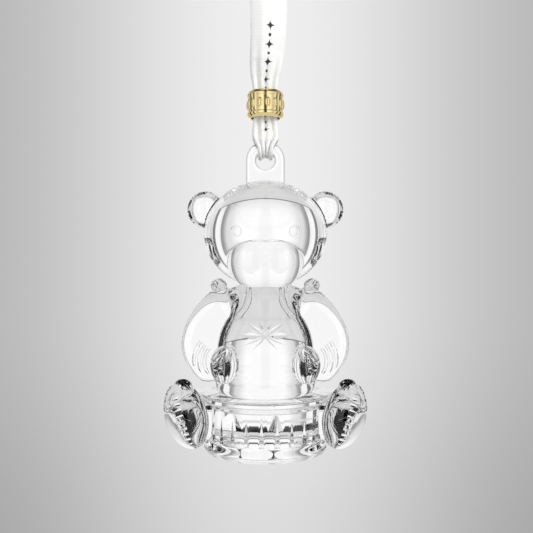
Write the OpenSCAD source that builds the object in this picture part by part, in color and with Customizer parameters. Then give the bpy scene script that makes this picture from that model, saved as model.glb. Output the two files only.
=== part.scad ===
// Hanging crystal bear on a ribbon, with a gold bead.
// The bear faces -Y and its own left is at +X. Heights named *_z are measured up from the
// underside of the drum; the whole model hangs below its origin, the inside top of the ribbon loop.

/* [Ribbon] */
// Height of the inside of the loop above the middle of the bead
loop_l = 35.3; // [28:0.1:90]
// Width of the ribbon as it lies, with its slight curl
ribbon_w = 9.4; // [8:0.1:12]
// Thickness of the ribbon
ribbon_t = 0.4; // [0.3:0.05:0.6]
// Radius of the loop over its hook
loop_r = 3; // [2.6:0.1:5]
// Width of the ribbon where the bead gathers it
gather_w = 6.2; // [5:0.1:7.5]
// Depth of the two gathered strands together
gather_d = 2.6; // [2:0.1:3.2]
// Thickness of the bunched ribbon where it goes round the eye
bunch_t = 0.8; // [0.5:0.1:1]
// Width of the bunched ribbon in the eye
bunch_w = 3.2; // [2.4:0.1:4]
// Gap between the ribbon and the glass that swings in it
swing_gap = 0.45; // [0.3:0.05:0.6]
// Flat gap between the loop and the tail, which twists under it
twist_gap = 0.1; // [0.05:0.05:0.2]

/* [Bead] */
// Wall of the bead
bead_wall = 1.05; // [0.9:0.05:2]
// Height of the bead
bead_h = 7.3; // [6:0.1:9]
// Gap all round between the gathered ribbon and the bead's bore
bead_gap = 0.55; // [0.3:0.05:0.8]
// Height of the middle of the bead above the hole in the eye
bead_up = 15; // [14:0.1:24]
// Rounding of the bead's outer rims
bead_round = 0.8; // [0.4:0.05:0.85]

/* [Hanging eye] */
// Width of the glass round the hole
eye_wall = 2.8; // [2.2:0.1:3.6]
// Radius of the hole in the eye
eye_hole_r = 2.45; // [2.2:0.05:3]
// Thickness of the eye from front to back
eye_t = 3.2; // [2.8:0.1:3.8]
// Height of the centre of the hole above the crown of the head
eye_up = 5.4; // [4:0.1:8]
// Rounding of the eye's edges
eye_round = 1; // [0.6:0.1:1.05]

/* [Head] */
// Half width of the head
head_rx = 16.5; // [13:0.1:20]
// Half depth of the head
head_ry = 13.5; // [11:0.1:16]
// Half height of the head
head_rz = 14.4; // [12:0.1:18]
// Height of the middle of the head above the drum
head_over = 42.7; // [35:0.1:52]
// Half width of the muzzle
muzzle_rx = 9.6; // [8:0.1:11]
// Half height of the muzzle
muzzle_rz = 6.4; // [5:0.1:7.5]
// How far the muzzle stands out in front of the head
muzzle_out = 3; // [2:0.1:4]
// Distance of the muzzle's middle below the middle of the head
muzzle_drop = 7.7; // [6:0.1:9]
// Radius of an ear
ear_r = 4.9; // [4:0.1:6]
// Half thickness of an ear
ear_half_t = 3.2; // [2.6:0.1:4]
// Angle of an ear round the head, up from level
ear_angle = 25; // [18:1:45]
// How far an ear's middle stands out of the head
ear_out = 1.3; // [0:0.1:2.5]
// Distance from an eye to the middle of the face, sideways
pupil_x = 7.3; // [6:0.1:8]
// Radius of the engraved ring of an eye
pupil_r = 1.2; // [0.9:0.1:1.6]

/* [Body] */
// Radius of the torso at its widest, just above the drum
belly_r = 13.5; // [11:0.1:16]
// Radius of the torso at the neck
neck_r = 5.2; // [4.4:0.1:6.5]
// Height above the drum at which the torso starts to close in towards the neck
dome_up = 15.8; // [13:0.1:19]
// Height of the centre of the star cut above the drum
star_up = 17.4; // [14:0.1:21]
// Half length of the long side petals of the star
star_r = 6.6; // [5:0.1:8]
// Depth of the star's cuts
star_deep = 0.7; // [0.4:0.05:1]
// Length of an arm, from the shoulder to the end of the sleeve
arm_l = 27; // [22:0.5:32]
// Radius of an arm at its fullest
arm_r = 8.2; // [6.5:0.1:9]
// Half thickness of an arm between its flat front and back
arm_flat = 5.8; // [4.6:0.1:7]
// Lean of an arm away from upright
arm_lean = 10; // [7:0.5:13]
// Radius of a paw
paw_r = 4.1; // [3.4:0.1:4.9]
// Angle of a paw round the belly, away from the front
paw_angle = 48; // [42:1:52]
// Height of a paw's middle above the drum
paw_up = 7.8; // [6:0.1:10]

/* [Drum and feet] */
// Radius of the drum's rim
rim_r = 17; // [14:0.1:20.5]
// Height of the rim band
rim_h = 2.6; // [2:0.1:3.4]
// Height of the drum
drum_h = 15.2; // [12.6:0.1:18.3]
// How far the wall is set in from the rim
wall_in = 2; // [1:0.1:3]
// How far the foot flange is set in from the rim
flange_in = 0.6; // [0:0.1:1.2]
// Height of the foot flange
flange_h = 2.6; // [2:0.1:3.4]
// Cut wedges round the drum, counted all the way round
wedges = 24; // [18:2:30]
// Depth of a wedge at its foot
wedge_deep = 0.9; // [0.5:0.05:1.2]
// Half width of a foot
foot_rx = 5.7; // [4.7:0.1:6.9]
// Half length of a foot
foot_rz = 8.9; // [7.4:0.1:10.7]
// Half thickness of a foot
foot_ry = 5; // [4:0.1:6]
// How far a foot's middle stands out from the drum's rim
foot_out = 3.6; // [2.5:0.1:4.5]
// Distance of the feet in front of the middle of the bear
foot_front = 8; // [6:0.5:10]
// Radius of a leg
leg_r = 6.6; // [5.5:0.1:7.9]
// Length of a leg's straight stretch, from the hip to the foot
leg_l = 12; // [8:0.5:16]

/* [Hidden] */
$fn = 64;
LEFT = 1;
RIGHT = -1;

// A cutter runs past a face by this much.
past = 0.5;

// Heights, each stacked on the one below it.
head_z = drum_h + head_over;
eye_z = head_z + head_rz + eye_up;
bead_z = eye_z + bead_up;
hang_h = bead_z + loop_l;

bore_r = sqrt(pow(gather_w / 2, 2) + pow(gather_d / 2, 2)) + bead_gap;
bead_r = bore_r + bead_wall;
bead_low = bead_z - bead_h / 2;
bead_high = bead_z + bead_h / 2;
// The bead can ride up this far before the ribbon widens.
slide_up = 3;
// The two strands stay apart this far below the bend, to leave room for a hook.
hook_room = 8;

// The glass swings about the middle of the arch over the hole, and the ribbon goes round that
// arch, clear of its lowest corner.
eye_r = eye_hole_r + eye_wall;
swing_z = eye_z + (eye_hole_r + eye_r) / 2;
arch_low = sqrt(pow(eye_hole_r, 2) - pow(bunch_w / 2, 2));
bend_r = swing_z - eye_z - arch_low + swing_gap;

head_y = -1;
crown_z = head_z + head_rz;
chin_z = head_z - head_rz;
muzzle_ry = 6.5;
muzzle_y = head_y - head_ry + muzzle_ry - muzzle_out;
muzzle_z = head_z - muzzle_drop;
pupil_up = 0.2;

// The torso is fullest this far above the drum, and is as narrow as the neck this far above the chin.
belly_up = 3.6;
neck_up = 1;
belly_z = drum_h + belly_up;
neck_z = chin_z + neck_up;
belly_taper = 0.06;
dome_soft = 1.5;
star_z = drum_h + star_up;
shoulder_x = (belly_r + neck_r) / 2 + 2.05;
shoulder_r = 2.6;
// An arm is at its fullest this far along.
arm_full = 0.6;
arm_y = -2;
paw_out = 1;
paw_at = [(belly_r + paw_out) * sin(paw_angle), -(belly_r + paw_out) * cos(paw_angle), drum_h + paw_up];
wall_r = rim_r - wall_in;
flange_r = rim_r - flange_in;
foot_x = rim_r + foot_out;
foot_z = foot_rz + 1.7;
foot_tilt = 14;
leg_x = wall_r + 2.4;
leg_z = leg_r + 2.2;

module hung() {
    translate([0, 0, -hang_h]) children();
}

// An ellipsoid with its middle at a point.
module ellipsoid(at, half) {
    translate(at) scale(half) sphere(1);
}

// A piece made for the bear's left, or the same piece mirrored to its right.
module sided(side) {
    if (side == LEFT) children();
    else mirror([1, 0, 0]) children();
}

// A flat outline in the Y-Z plane, given a width along X.
module across(width) {
    rotate([90, 0, 90]) translate([0, 0, -width / 2]) linear_extrude(width) children();
}

// A flat outline in the X-Z plane, given a depth along Y.
module through(depth) {
    rotate([90, 0, 0]) translate([0, 0, -depth / 2]) linear_extrude(depth) children();
}

// ---------------------------------------------------------------- ribbon and bead

// Points along an arc about a centre, from one angle to another.
function arc(centre, r, from, to) =
    [for (i = [0:12]) centre + r * [cos(from + (to - from) * i / 12), sin(from + (to - from) * i / 12)]];

// Both strands of the loop from the side: a bend over the hook, then two strands that close up.
module loop_outline() {
    low = bead_z + twist_gap / 2;
    join_z = bead_high + slide_up;
    bend = [0, hang_h - loop_r];
    part_z = hang_h - loop_r - hook_room;
    outer = loop_r + ribbon_t;
    difference() {
        polygon(concat(arc(bend, outer, 0, 180),
                       [[-outer, part_z], [-gather_d / 2, join_z], [-gather_d / 2, low],
                        [gather_d / 2, low], [gather_d / 2, join_z], [outer, part_z]]));
        polygon(concat(arc(bend, loop_r, 0, 180), [[-loop_r, part_z], [0, join_z], [loop_r, part_z]]));
    }
}

// The ribbon's width, from the gathers in the bead up to the full width.
module loop_front() {
    low = bead_z + twist_gap / 2;
    wide_z = bead_high + slide_up;
    half = ribbon_w / 2;
    shoulder = half - 0.25 * (half - gather_w / 2);
    polygon([[-gather_w / 2, low], [-gather_w / 2, wide_z], [-shoulder, wide_z + 4],
             [-half, wide_z + 10], [-half, hang_h + 1], [half, hang_h + 1], [half, wide_z + 10],
             [shoulder, wide_z + 4], [gather_w / 2, wide_z], [gather_w / 2, low]]);
}

module ribbon_loop() {
    color("whitesmoke") hung() intersection() {
        across(ribbon_w + 2) loop_outline();
        through(4 * loop_r + 4) loop_front();
    }
}

// The ribbon's two ends overlap on the back strand and are sealed to each other.
module ribbon_seam() {
    seam_l = 6;
    color("whitesmoke") hung()
        translate([-ribbon_w / 2, loop_r + ribbon_t, hang_h - loop_r - hook_room + 1])
            cube([ribbon_w, ribbon_t, seam_l]);
}

// The strands under the bead: gathered, spread to pass each side of the eye, joined under its arch.
module tail_outline() {
    high = bead_z - twist_gap / 2;
    join_z = bead_low - 1;
    centre = [0, swing_z];
    difference() {
        polygon(concat([[-gather_d / 2, high], [-gather_d / 2, join_z]],
                       arc(centre, bend_r + bunch_t, 180, 360),
                       [[gather_d / 2, join_z], [gather_d / 2, high]]));
        polygon(concat(arc(centre, bend_r, 180, 360), [[0, join_z - 0.5]]));
    }
}

module tail_front() {
    high = bead_z - twist_gap / 2;
    polygon([[-bunch_w / 2, swing_z - 6], [-bunch_w / 2, swing_z - 0.5], [-gather_w / 2, swing_z + 3.2],
             [-gather_w / 2, high], [gather_w / 2, high], [gather_w / 2, swing_z + 3.2],
             [bunch_w / 2, swing_z - 0.5], [bunch_w / 2, swing_z - 6]]);
}

module ribbon_tail() {
    color("whitesmoke") hung() intersection() {
        across(gather_w + 2) tail_outline();
        through(30) tail_front();
    }
}

// A ring with rounded outer rims.
module bead() {
    half = bead_h / 2;
    color("gold") hung() translate([0, 0, bead_z]) rotate_extrude() intersection() {
        union() {
            translate([bore_r, bead_round - half]) square([bead_wall, bead_h - 2 * bead_round]);
            translate([bore_r, -half]) square([bead_wall - bead_round, bead_h]);
            for (side = [-1, 1])
                translate([bead_r - bead_round, side * (half - bead_round)]) circle(bead_round);
        }
        translate([bore_r, -half]) square([bead_wall, bead_h]);
    }
}

// ---------------------------------------------------------------- head

module head_solid() {
    ellipsoid([0, head_y, head_z], [head_rx, head_ry, head_rz]);
}

// The rounded section of the eye, from the hole out to the edge.
module eye_section() {
    wide = eye_r - eye_hole_r;
    half = eye_t / 2;
    translate([eye_hole_r + eye_round, -half]) square([wide - 2 * eye_round, eye_t]);
    translate([eye_hole_r, -half + eye_round]) square([wide, eye_t - 2 * eye_round]);
    for (x = [eye_hole_r + eye_round, eye_r - eye_round], y = [-half + eye_round, half - eye_round])
        translate([x, y]) circle(eye_round);
}

// What the hole takes out, with its rounded mouths.
module eye_bore() {
    half = eye_t / 2;
    flare = eye_hole_r + eye_round;
    difference() {
        translate([0, -half - past]) square([flare, eye_t + 2 * past]);
        for (side = [-1, 1]) translate([flare, side * (half - eye_round)]) circle(eye_round);
        translate([eye_hole_r, -half + eye_round]) square([eye_round + 1, eye_t - 2 * eye_round]);
    }
}

module hanging_eye() {
    low = crown_z - 6;
    color("aliceblue") hung() difference() {
        union() {
            intersection() {
                translate([0, 0, eye_z]) rotate([90, 0, 0]) rotate_extrude() eye_section();
                translate([-2 * eye_r, -eye_t, eye_z]) cube([4 * eye_r, 2 * eye_t, 2 * eye_r]);
            }
            difference() {
                translate([0, 0, low]) linear_extrude(eye_z - low) {
                    square([2 * (eye_r - eye_round), eye_t], center = true);
                    square([2 * eye_r, eye_t - 2 * eye_round], center = true);
                    for (x = [-1, 1], y = [-1, 1])
                        translate([x * (eye_r - eye_round), y * (eye_t / 2 - eye_round)])
                            circle(eye_round);
                }
                translate([0, 0, eye_z]) rotate([90, 0, 0]) rotate_extrude() eye_bore();
            }
        }
        head_solid();
    }
}

// The engraved ring of one eye, cut straight back into the face.
module pupil_cut(side) {
    deep = 8;
    line = 0.35;
    face = head_ry * sqrt(1 - pow(pupil_x / head_rx, 2));
    sided(side) translate([pupil_x, head_y - face + 0.45, head_z + pupil_up]) rotate([90, 0, 0])
        difference() {
            cylinder(h = deep, r = pupil_r);
            translate([0, 0, -past]) cylinder(h = deep + 2 * past, r = pupil_r - line);
        }
}

module head() {
    color("aliceblue") hung() difference() {
        head_solid();
        pupil_cut(LEFT);
        pupil_cut(RIGHT);
    }
}

module muzzle_solid() {
    ellipsoid([0, muzzle_y, muzzle_z], [muzzle_rx, muzzle_ry, muzzle_rz]);
}

module muzzle() {
    color("aliceblue") hung() difference() {
        muzzle_solid();
        head_solid();
    }
}

// A thick round ear with a dished front.
module ear(side) {
    dish_r = 9;
    dish_deep = 0.9;
    at = [(head_rx + ear_out) * cos(ear_angle), head_y + 0.5,
          head_z + (head_rz + ear_out) * sin(ear_angle)];
    color("aliceblue") hung() sided(side) difference() {
        ellipsoid(at, [ear_r, ear_half_t, ear_r]);
        translate(at + [0, -ear_half_t - dish_r + dish_deep, 0]) sphere(dish_r);
        head_solid();
    }
}

// ---------------------------------------------------------------- body

// Radius of the torso at a height between the belly and the neck: nearly upright at first, then
// closing in evenly like a dome, with a soft bend of dome_soft between the two.
function torso_slope() =
    (belly_r - neck_r - belly_taper * (neck_z - belly_z)) / (neck_z - drum_h - dome_up);
function torso_r(z) =
    belly_r - belly_taper * (z - belly_z)
    - torso_slope() * dome_soft * ln(1 + exp((z - drum_h - dome_up) / dome_soft));

// Half of the torso's outline: a round seat on the drum, a full belly, and a neck inside the head.
function torso_profile() = concat(
    [[0, drum_h]],
    [for (a = [0:15:75]) [belly_r - 2.2 * (1 - sin(a)), drum_h + (belly_up - 0.2) * (1 - cos(a))]],
    [for (i = [0:14]) let (z = belly_z + i / 14 * (neck_z - belly_z)) [torso_r(z), z]],
    [[neck_r, chin_z + 5], [0, chin_z + 5]]);

module torso_solid() {
    rotate_extrude() polygon(torso_profile());
}

// One ray of the star: a square bar whose edge digs in and runs out of the round belly. The star
// leans back with the torso there.
module star_ray(angle, reach) {
    bar = star_deep * sqrt(2);
    lean = atan(torso_r(star_z - 1) - torso_r(star_z + 1)) / 2;
    translate([0, -torso_r(star_z), star_z]) rotate([-lean, 0, 0]) rotate([0, angle, 0])
        rotate([45, 0, 0]) translate([0, -bar / 2, -bar / 2]) cube([reach, bar, bar]);
}

module torso() {
    color("aliceblue") hung() difference() {
        torso_solid();
        head_solid();
        muzzle_solid();
        for (angle = [0, 180]) star_ray(angle, star_r);
        for (angle = [-35, -145]) star_ray(angle, star_r * 0.8);
        star_ray(-90, star_r * 0.75);
        for (angle = [45, 135]) star_ray(angle, star_r * 0.7);
    }
}

// An arm is a long drop, with a blunt shoulder and its fullest part above the wrist. Its front and
// back are flat.
function arm_radius(t) =
    t < arm_full ? arm_r * sin(90 * t / arm_full)
                 : arm_r * pow(cos(90 * (t - arm_full) / (1 - arm_full)), 0.6);
function knob_radius(t) = shoulder_r * sin(min(90, 900 * t)) * (1 - t);
function arm_profile() = concat(
    [[0, 0]],
    [for (i = [1:13]) let (t = i / 14) [max(arm_radius(t), knob_radius(t)), -arm_l * t]],
    [[0, -arm_l]]);

module arm_solid() {
    translate([shoulder_x, arm_y, chin_z + 1.5]) rotate([0, -arm_lean, 0]) intersection() {
        rotate_extrude() polygon(arm_profile());
        translate([-2 * arm_r, -arm_flat, -arm_l - past]) cube([4 * arm_r, 2 * arm_flat, arm_l + 2 * past]);
    }
}

module arm(side) {
    color("aliceblue") hung() sided(side) difference() {
        arm_solid();
        torso_solid();
        head_solid();
        paw_solid();
        drum_solid();
    }
}

// A paw rests on the belly, with grooves between its fingers.
module paw_solid() {
    translate(paw_at) sphere(paw_r);
}

module paw(side) {
    groove = 0.8;
    apart = 1.9;
    color("aliceblue") hung() sided(side) difference() {
        paw_solid();
        for (x = [-apart, 0, apart]) translate(paw_at + [x, -paw_r, 0]) rotate([0, 0, 45])
            cube([groove, groove, 4 * paw_r], center = true);
        torso_solid();
    }
}

// ---------------------------------------------------------------- drum, legs and feet

// The space that the whole drum takes up, which the legs and feet are cut to.
module drum_solid() {
    cylinder(h = flange_h, r = flange_r);
    cylinder(h = drum_h, r = wall_r);
    translate([0, 0, drum_h - rim_h]) cylinder(h = rim_h, r = rim_r);
}

// A leg lies along the drum, round at the hip, and runs into the foot. Its own two sides are alike, so
// the right leg is put in its place directly and isn't a mirrored one.
module leg_solid(side) {
    translate([side * leg_x, -leg_l / 2, leg_z]) {
        rotate([-90, 0, 0]) cylinder(h = leg_l, r = leg_r);
        translate([0, leg_l, 0]) sphere(leg_r);
    }
}

module leg(side) {
    color("aliceblue") hung() difference() {
        leg_solid(side);
        drum_solid();
        torso_solid();
        sided(side) arm_solid();
    }
}

// An upright sole that leans outwards at the toes.
module foot_solid() {
    translate([foot_x, -foot_front, foot_z]) rotate([0, foot_tilt, 0])
        scale([foot_rx, foot_ry, foot_rz]) sphere(1);
}

module foot(side) {
    rib = 0.5;
    apart = 2;
    ribs = 6;
    color("aliceblue") hung() sided(side) difference() {
        foot_solid();
        for (i = [0:ribs - 1])
            translate([foot_x, -foot_front - foot_ry, foot_z + (i - (ribs - 1) / 2) * apart])
                rotate([45, 0, 0]) cube([foot_rx, rib, rib], center = true);
        drum_solid();
        leg_solid(LEFT);
        arm_solid();
    }
}

module drum_rim() {
    soft = 0.6;
    color("aliceblue") hung() translate([0, 0, drum_h - rim_h]) rotate_extrude()
        polygon([[0, 0], [wall_r, 0], [rim_r - 0.4, 0.5], [rim_r, 1], [rim_r, rim_h - soft],
                 [rim_r - 0.18, rim_h - 0.18], [rim_r - soft, rim_h], [0, rim_h]]);
}

// The wall, with a row of wedges that are deep at the foot and run out to a point above.
module drum_wall() {
    low = flange_h + 1.7;
    high = drum_h - rim_h - 1.6;
    lean = atan(wedge_deep / (high - low));
    bar = wedge_deep * sqrt(2);
    color("aliceblue") hung() difference() {
        translate([0, 0, flange_h]) cylinder(h = drum_h - rim_h - flange_h, r = wall_r);
        for (i = [0:wedges - 1]) rotate([0, 0, i * 360 / wedges - 3.6])
            translate([0, -wall_r, low]) rotate([lean, 0, 0]) rotate([0, 0, 45])
                translate([-bar / 2, -bar / 2, 0]) cube([bar, bar, high - low + 1]);
    }
}

module drum_flange() {
    color("aliceblue") hung() rotate_extrude()
        polygon([[0, 0], [flange_r - 0.8, 0], [flange_r - 0.2, 0.3], [flange_r, 0.9],
                 [flange_r, 1.5], [flange_r - 0.3, 2], [wall_r + 0.2, flange_h], [0, flange_h]]);
}

ribbon_loop();
ribbon_seam();
ribbon_tail();
bead();
hanging_eye();
head();
muzzle();
ear(LEFT);  // ear_left
ear(RIGHT);  // ear_right
torso();
arm(LEFT);  // arm_left
arm(RIGHT);  // arm_right
paw(LEFT);  // paw_left
paw(RIGHT);  // paw_right
leg(LEFT);  // leg_left
leg(RIGHT);  // leg_right
foot(LEFT);  // foot_left
foot(RIGHT);  // foot_right
drum_rim();
drum_wall();
drum_flange();
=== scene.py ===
# %% [markdown]
# # A crystal bear on a ribbon
#
# The object is a small pressed-glass bear that sits on a round drum. A white satin ribbon goes
# through the eye on its head, and a gold bead gathers the ribbon just above the glass.
#
# This lesson builds the looks around a frame that is already fixed. The frame gives the place and
# the size of every piece, so each step below starts from a box that the frame knows.

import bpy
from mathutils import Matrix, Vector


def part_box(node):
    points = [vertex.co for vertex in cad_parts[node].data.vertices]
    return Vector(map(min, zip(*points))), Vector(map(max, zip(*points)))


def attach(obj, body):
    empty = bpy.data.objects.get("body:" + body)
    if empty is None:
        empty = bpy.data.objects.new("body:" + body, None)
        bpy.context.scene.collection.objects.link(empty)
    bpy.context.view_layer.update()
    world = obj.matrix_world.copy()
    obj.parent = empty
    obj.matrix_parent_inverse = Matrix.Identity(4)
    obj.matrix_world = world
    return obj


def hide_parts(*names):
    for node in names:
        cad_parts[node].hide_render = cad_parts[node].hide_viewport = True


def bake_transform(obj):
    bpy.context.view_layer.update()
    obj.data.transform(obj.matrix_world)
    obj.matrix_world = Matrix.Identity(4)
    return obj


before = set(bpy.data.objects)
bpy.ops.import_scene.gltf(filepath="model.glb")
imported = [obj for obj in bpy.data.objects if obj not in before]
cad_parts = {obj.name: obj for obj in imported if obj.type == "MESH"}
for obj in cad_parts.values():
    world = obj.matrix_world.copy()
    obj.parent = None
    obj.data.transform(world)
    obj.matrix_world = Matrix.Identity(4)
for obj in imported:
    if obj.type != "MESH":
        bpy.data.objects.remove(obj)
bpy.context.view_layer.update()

# %% [markdown]
# ## Units and helpers
#
# Glass this small is easiest to shape in millimetres, with heights counted up from the underside of
# the drum. Blender works in metres and the frame hangs below its hook, so one function turns a
# maker's point into a point of the frame, and one turns a node's box into maker's numbers.

# %% Units
import math
from types import SimpleNamespace

import bmesh
import bpy
import numpy as np
from mathutils import Matrix, Vector

MM = 0.001
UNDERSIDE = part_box("drum_flange")[0].z


def in_frame(points):
    """Millimetres above the drum's underside, as metres in the frame."""
    return np.asarray(points, float) * MM + np.array([0, 0, UNDERSIDE])


def box_mm(node):
    """A node's lowest and highest corners, middle and half size, in the maker's millimetres."""
    low, high = ((np.array(corner) - np.array([0, 0, UNDERSIDE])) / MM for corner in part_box(node))
    return SimpleNamespace(low=low, high=high, mid=(low + high) / 2, half=(high - low) / 2)


hook_z = -UNDERSIDE / MM
print("the hook is", round(hook_z, 2), "mm above the underside of the drum")

# %% [markdown]
# ## Camera
#
# The bear is seen from straight in front, with the lens level with its middle and close by. A short
# distance matters for glass, because the far rim of the drum is then drawn smaller than the near rim.

# %% Camera
CAMERA_AT = Vector((0.0003, -0.195, -0.0788))
LENS, SENSOR = 48.75, 36

camera_data = bpy.data.cameras.new("camera")
camera_data.sensor_width = SENSOR
camera_data.lens = LENS
camera_data.clip_start = 0.01
camera = bpy.data.objects.new("camera", camera_data)
camera.location = CAMERA_AT
camera.rotation_euler = (math.radians(90), 0, 0)
bpy.context.scene.collection.objects.link(camera)
bpy.context.scene.camera = camera
bpy.context.scene.view_settings.view_transform = "Standard"
print("camera is", round(-CAMERA_AT.y * 1000), "mm in front of the bear")


# %% [markdown]
# ## Node helpers
#
# Materials and geometry trees are both made of nodes and links. These small helpers add a node, set
# its values and join its inputs in one line, so that the steps below read as recipes.

# %% Node helpers
def add_node(tree, kind, values=None, **settings):
    """One node. values maps an input's name or number to a constant or to another node's output."""
    node = tree.nodes.new(kind)
    for name, value in settings.items():
        setattr(node, name, value)
    for key, value in (values or {}).items():
        if isinstance(value, bpy.types.NodeSocket):
            tree.links.new(value, node.inputs[key])
        else:
            node.inputs[key].default_value = value
    return node


def sum_up(tree, operation, a, b=0.0, c=None):
    """The output of one Math node."""
    values = {0: a, 1: b}
    if c is not None:
        values[2] = c
    return add_node(tree, "ShaderNodeMath", values, operation=operation).outputs[0]


def ramp_between(tree, value, low, high, out_low=0.0, out_high=1.0):
    """A smooth step: out_low under low, out_high over high."""
    node = add_node(tree, "ShaderNodeMapRange",
                    {"Value": value, "From Min": low, "From Max": high,
                     "To Min": out_low, "To Max": out_high},
                    interpolation_type="SMOOTHSTEP")
    return node.outputs["Result"]


def new_material(name):
    material = bpy.data.materials.new(name)
    material.use_nodes = True
    material.node_tree.nodes.clear()
    output = material.node_tree.nodes.new("ShaderNodeOutputMaterial")
    return material, material.node_tree, output


def add_glow(material, output, strength):
    """Plain white light of that strength, which is seen and reflected but never aimed at."""
    tree = material.node_tree
    emission = add_node(tree, "ShaderNodeEmission", {"Color": (1, 1, 1, 1), "Strength": strength})
    tree.links.new(emission.outputs[0], output.inputs["Surface"])
    material.cycles.emission_sampling = "NONE"


def add_surface(tree, output, height, ripple, values):
    """A Principled surface whose relief is that height, at most ripple metres deep."""
    bump = add_node(tree, "ShaderNodeBump", {"Height": height, "Strength": 1.0, "Distance": ripple})
    shader = add_node(tree, "ShaderNodeBsdfPrincipled", {**values, "Normal": bump.outputs[0]})
    tree.links.new(shader.outputs[0], output.inputs["Surface"])


def object_place(tree):
    """The place on the object, in the object's own metres."""
    return add_node(tree, "ShaderNodeTexCoord").outputs["Object"]


def add_inputs(tree, inputs):
    """Named inputs of a node group or a geometry tree, each with its kind and its usual value."""
    for label, kind, value in inputs:
        socket = tree.interface.new_socket(name=label, in_out="INPUT", socket_type="NodeSocket" + kind)
        if value is not None:
            socket.default_value = value


def new_mesh_object(name, points, faces, material=None, smooth=True):
    """A mesh object at the frame's origin, from points that are already in metres."""
    mesh = bpy.data.meshes.new(name)
    mesh.from_pydata(np.asarray(points, float).tolist(), [], [list(map(int, f)) for f in faces])
    mesh.update()
    if smooth:
        mesh.polygons.foreach_set("use_smooth", [True] * len(mesh.polygons))
    if material:
        mesh.materials.append(material)
    piece = bpy.data.objects.new(name, mesh)
    bpy.context.scene.collection.objects.link(piece)
    return piece


def count_triangles(piece):
    return sum(len(p.vertices) - 2 for p in piece.data.polygons)


def lathe(profile, steps, closed=True):
    """Points and faces of an outline turned about the upright axis. The outline runs anticlockwise
    in the radius-height plane, so that the faces point outwards."""
    profile = np.asarray(profile, float)
    turn = np.arange(steps) * 2 * math.pi / steps
    points = np.stack([profile[:, None, 0] * np.cos(turn), profile[:, None, 0] * np.sin(turn),
                       np.repeat(profile[:, 1:2], steps, 1)], -1).reshape(-1, 3)
    faces = []
    rows = len(profile)
    for i in range(rows if closed else rows - 1):
        j = (i + 1) % rows
        for k in range(steps):
            m = (k + 1) % steps
            faces.append((i * steps + k, i * steps + m, j * steps + m, j * steps + k))
    return points, faces


def merge_doubles(piece, distance=1e-7):
    """Closes seams and poles, unless the distance is 0, and turns every face outwards."""
    bm = bmesh.new()
    bm.from_mesh(piece.data)
    if distance:
        bmesh.ops.remove_doubles(bm, verts=bm.verts, dist=distance)
        bmesh.ops.dissolve_degenerate(bm, edges=bm.edges, dist=distance)
    bmesh.ops.recalc_face_normals(bm, faces=bm.faces)
    bm.to_mesh(piece.data)
    bm.free()



# %% [markdown]
# ## Studio
#
# Clear glass has no colour of its own: it shows what stands round it, bent. A glass studio is
# therefore a bright field. Light comes from a big pale surface all round, and a few narrow dark
# flags stand in it, which the glass draws as the dark lines that make its edges readable. The dome is
# one seamless lathe shape, floor and wall in one, and its brightness is a function of the direction
# in which it lies from the bear. To the eye it is a pale backdrop with a painted shade that darkens
# it gently towards the sides and the floor, and the flags are only there for rays that have been
# through the glass or off the gold.

# %% Studio dome
DOME_R = 1.6
FLOOR_Z = -0.62
CORNER_R = 0.45
DOME_TOP = 1.5
DOME_RISE = 0.6
ROUND_STEPS = 96
CENTRE_Z = -0.105
# for the eye and then for the glass: degrees from and to, and the brightness at each
SEEN_SIDES, SEEN_RECOVER, SEEN_LOW = (0, 27, 0.865, 0.47), (30, 70, 0.0, 0.16), (-24, -2, 0.82, 1.0)
FRONT_LIFT = (95, 130, 1.0, 1.4)
# degrees away from straight behind the bear, and the brightness there
ROUND_SHADES = [(0, 1.0), (14, 1.0), (25, 0.72), (31, 0.34), (33, 0.25), (35, 0.95), (44, 1.0), (47, 0.10),
                (54, 0.08), (57, 0.95), (63, 0.85), (66, 0.03), (78, 0.03), (81, 0.8), (94, 0.75), (97, 0.05),
                (105, 0.05), (108, 0.8), (114, 0.85),
                (125, 0.4), (150, 0.75), (166, 0.9), (173, 0.08), (180, 0.03)]
# degrees above level, and the share of that brightness
HEIGHT_SHADES = [(-90, 0.7), (-30, 0.8), (-10, 1.0), (30, 1.0), (48, 0.9), (54, 0.1), (64, 0.1), (70, 0.8),
                 (90, 0.5)]


def dome_outline():
    angles = [math.radians(90 * i / 8) for i in range(1, 9)]
    floor_r = DOME_R - CORNER_R
    corner = [(floor_r + CORNER_R * math.sin(a), FLOOR_Z + CORNER_R * (1 - math.cos(a))) for a in angles]
    roof = [(DOME_R * math.cos(a), DOME_TOP - DOME_RISE + DOME_RISE * math.sin(a)) for a in angles]
    return [(0.0, FLOOR_Z), (floor_r, FLOOR_Z)] + corner + [(DOME_R, DOME_TOP - DOME_RISE)] + roof


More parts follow.
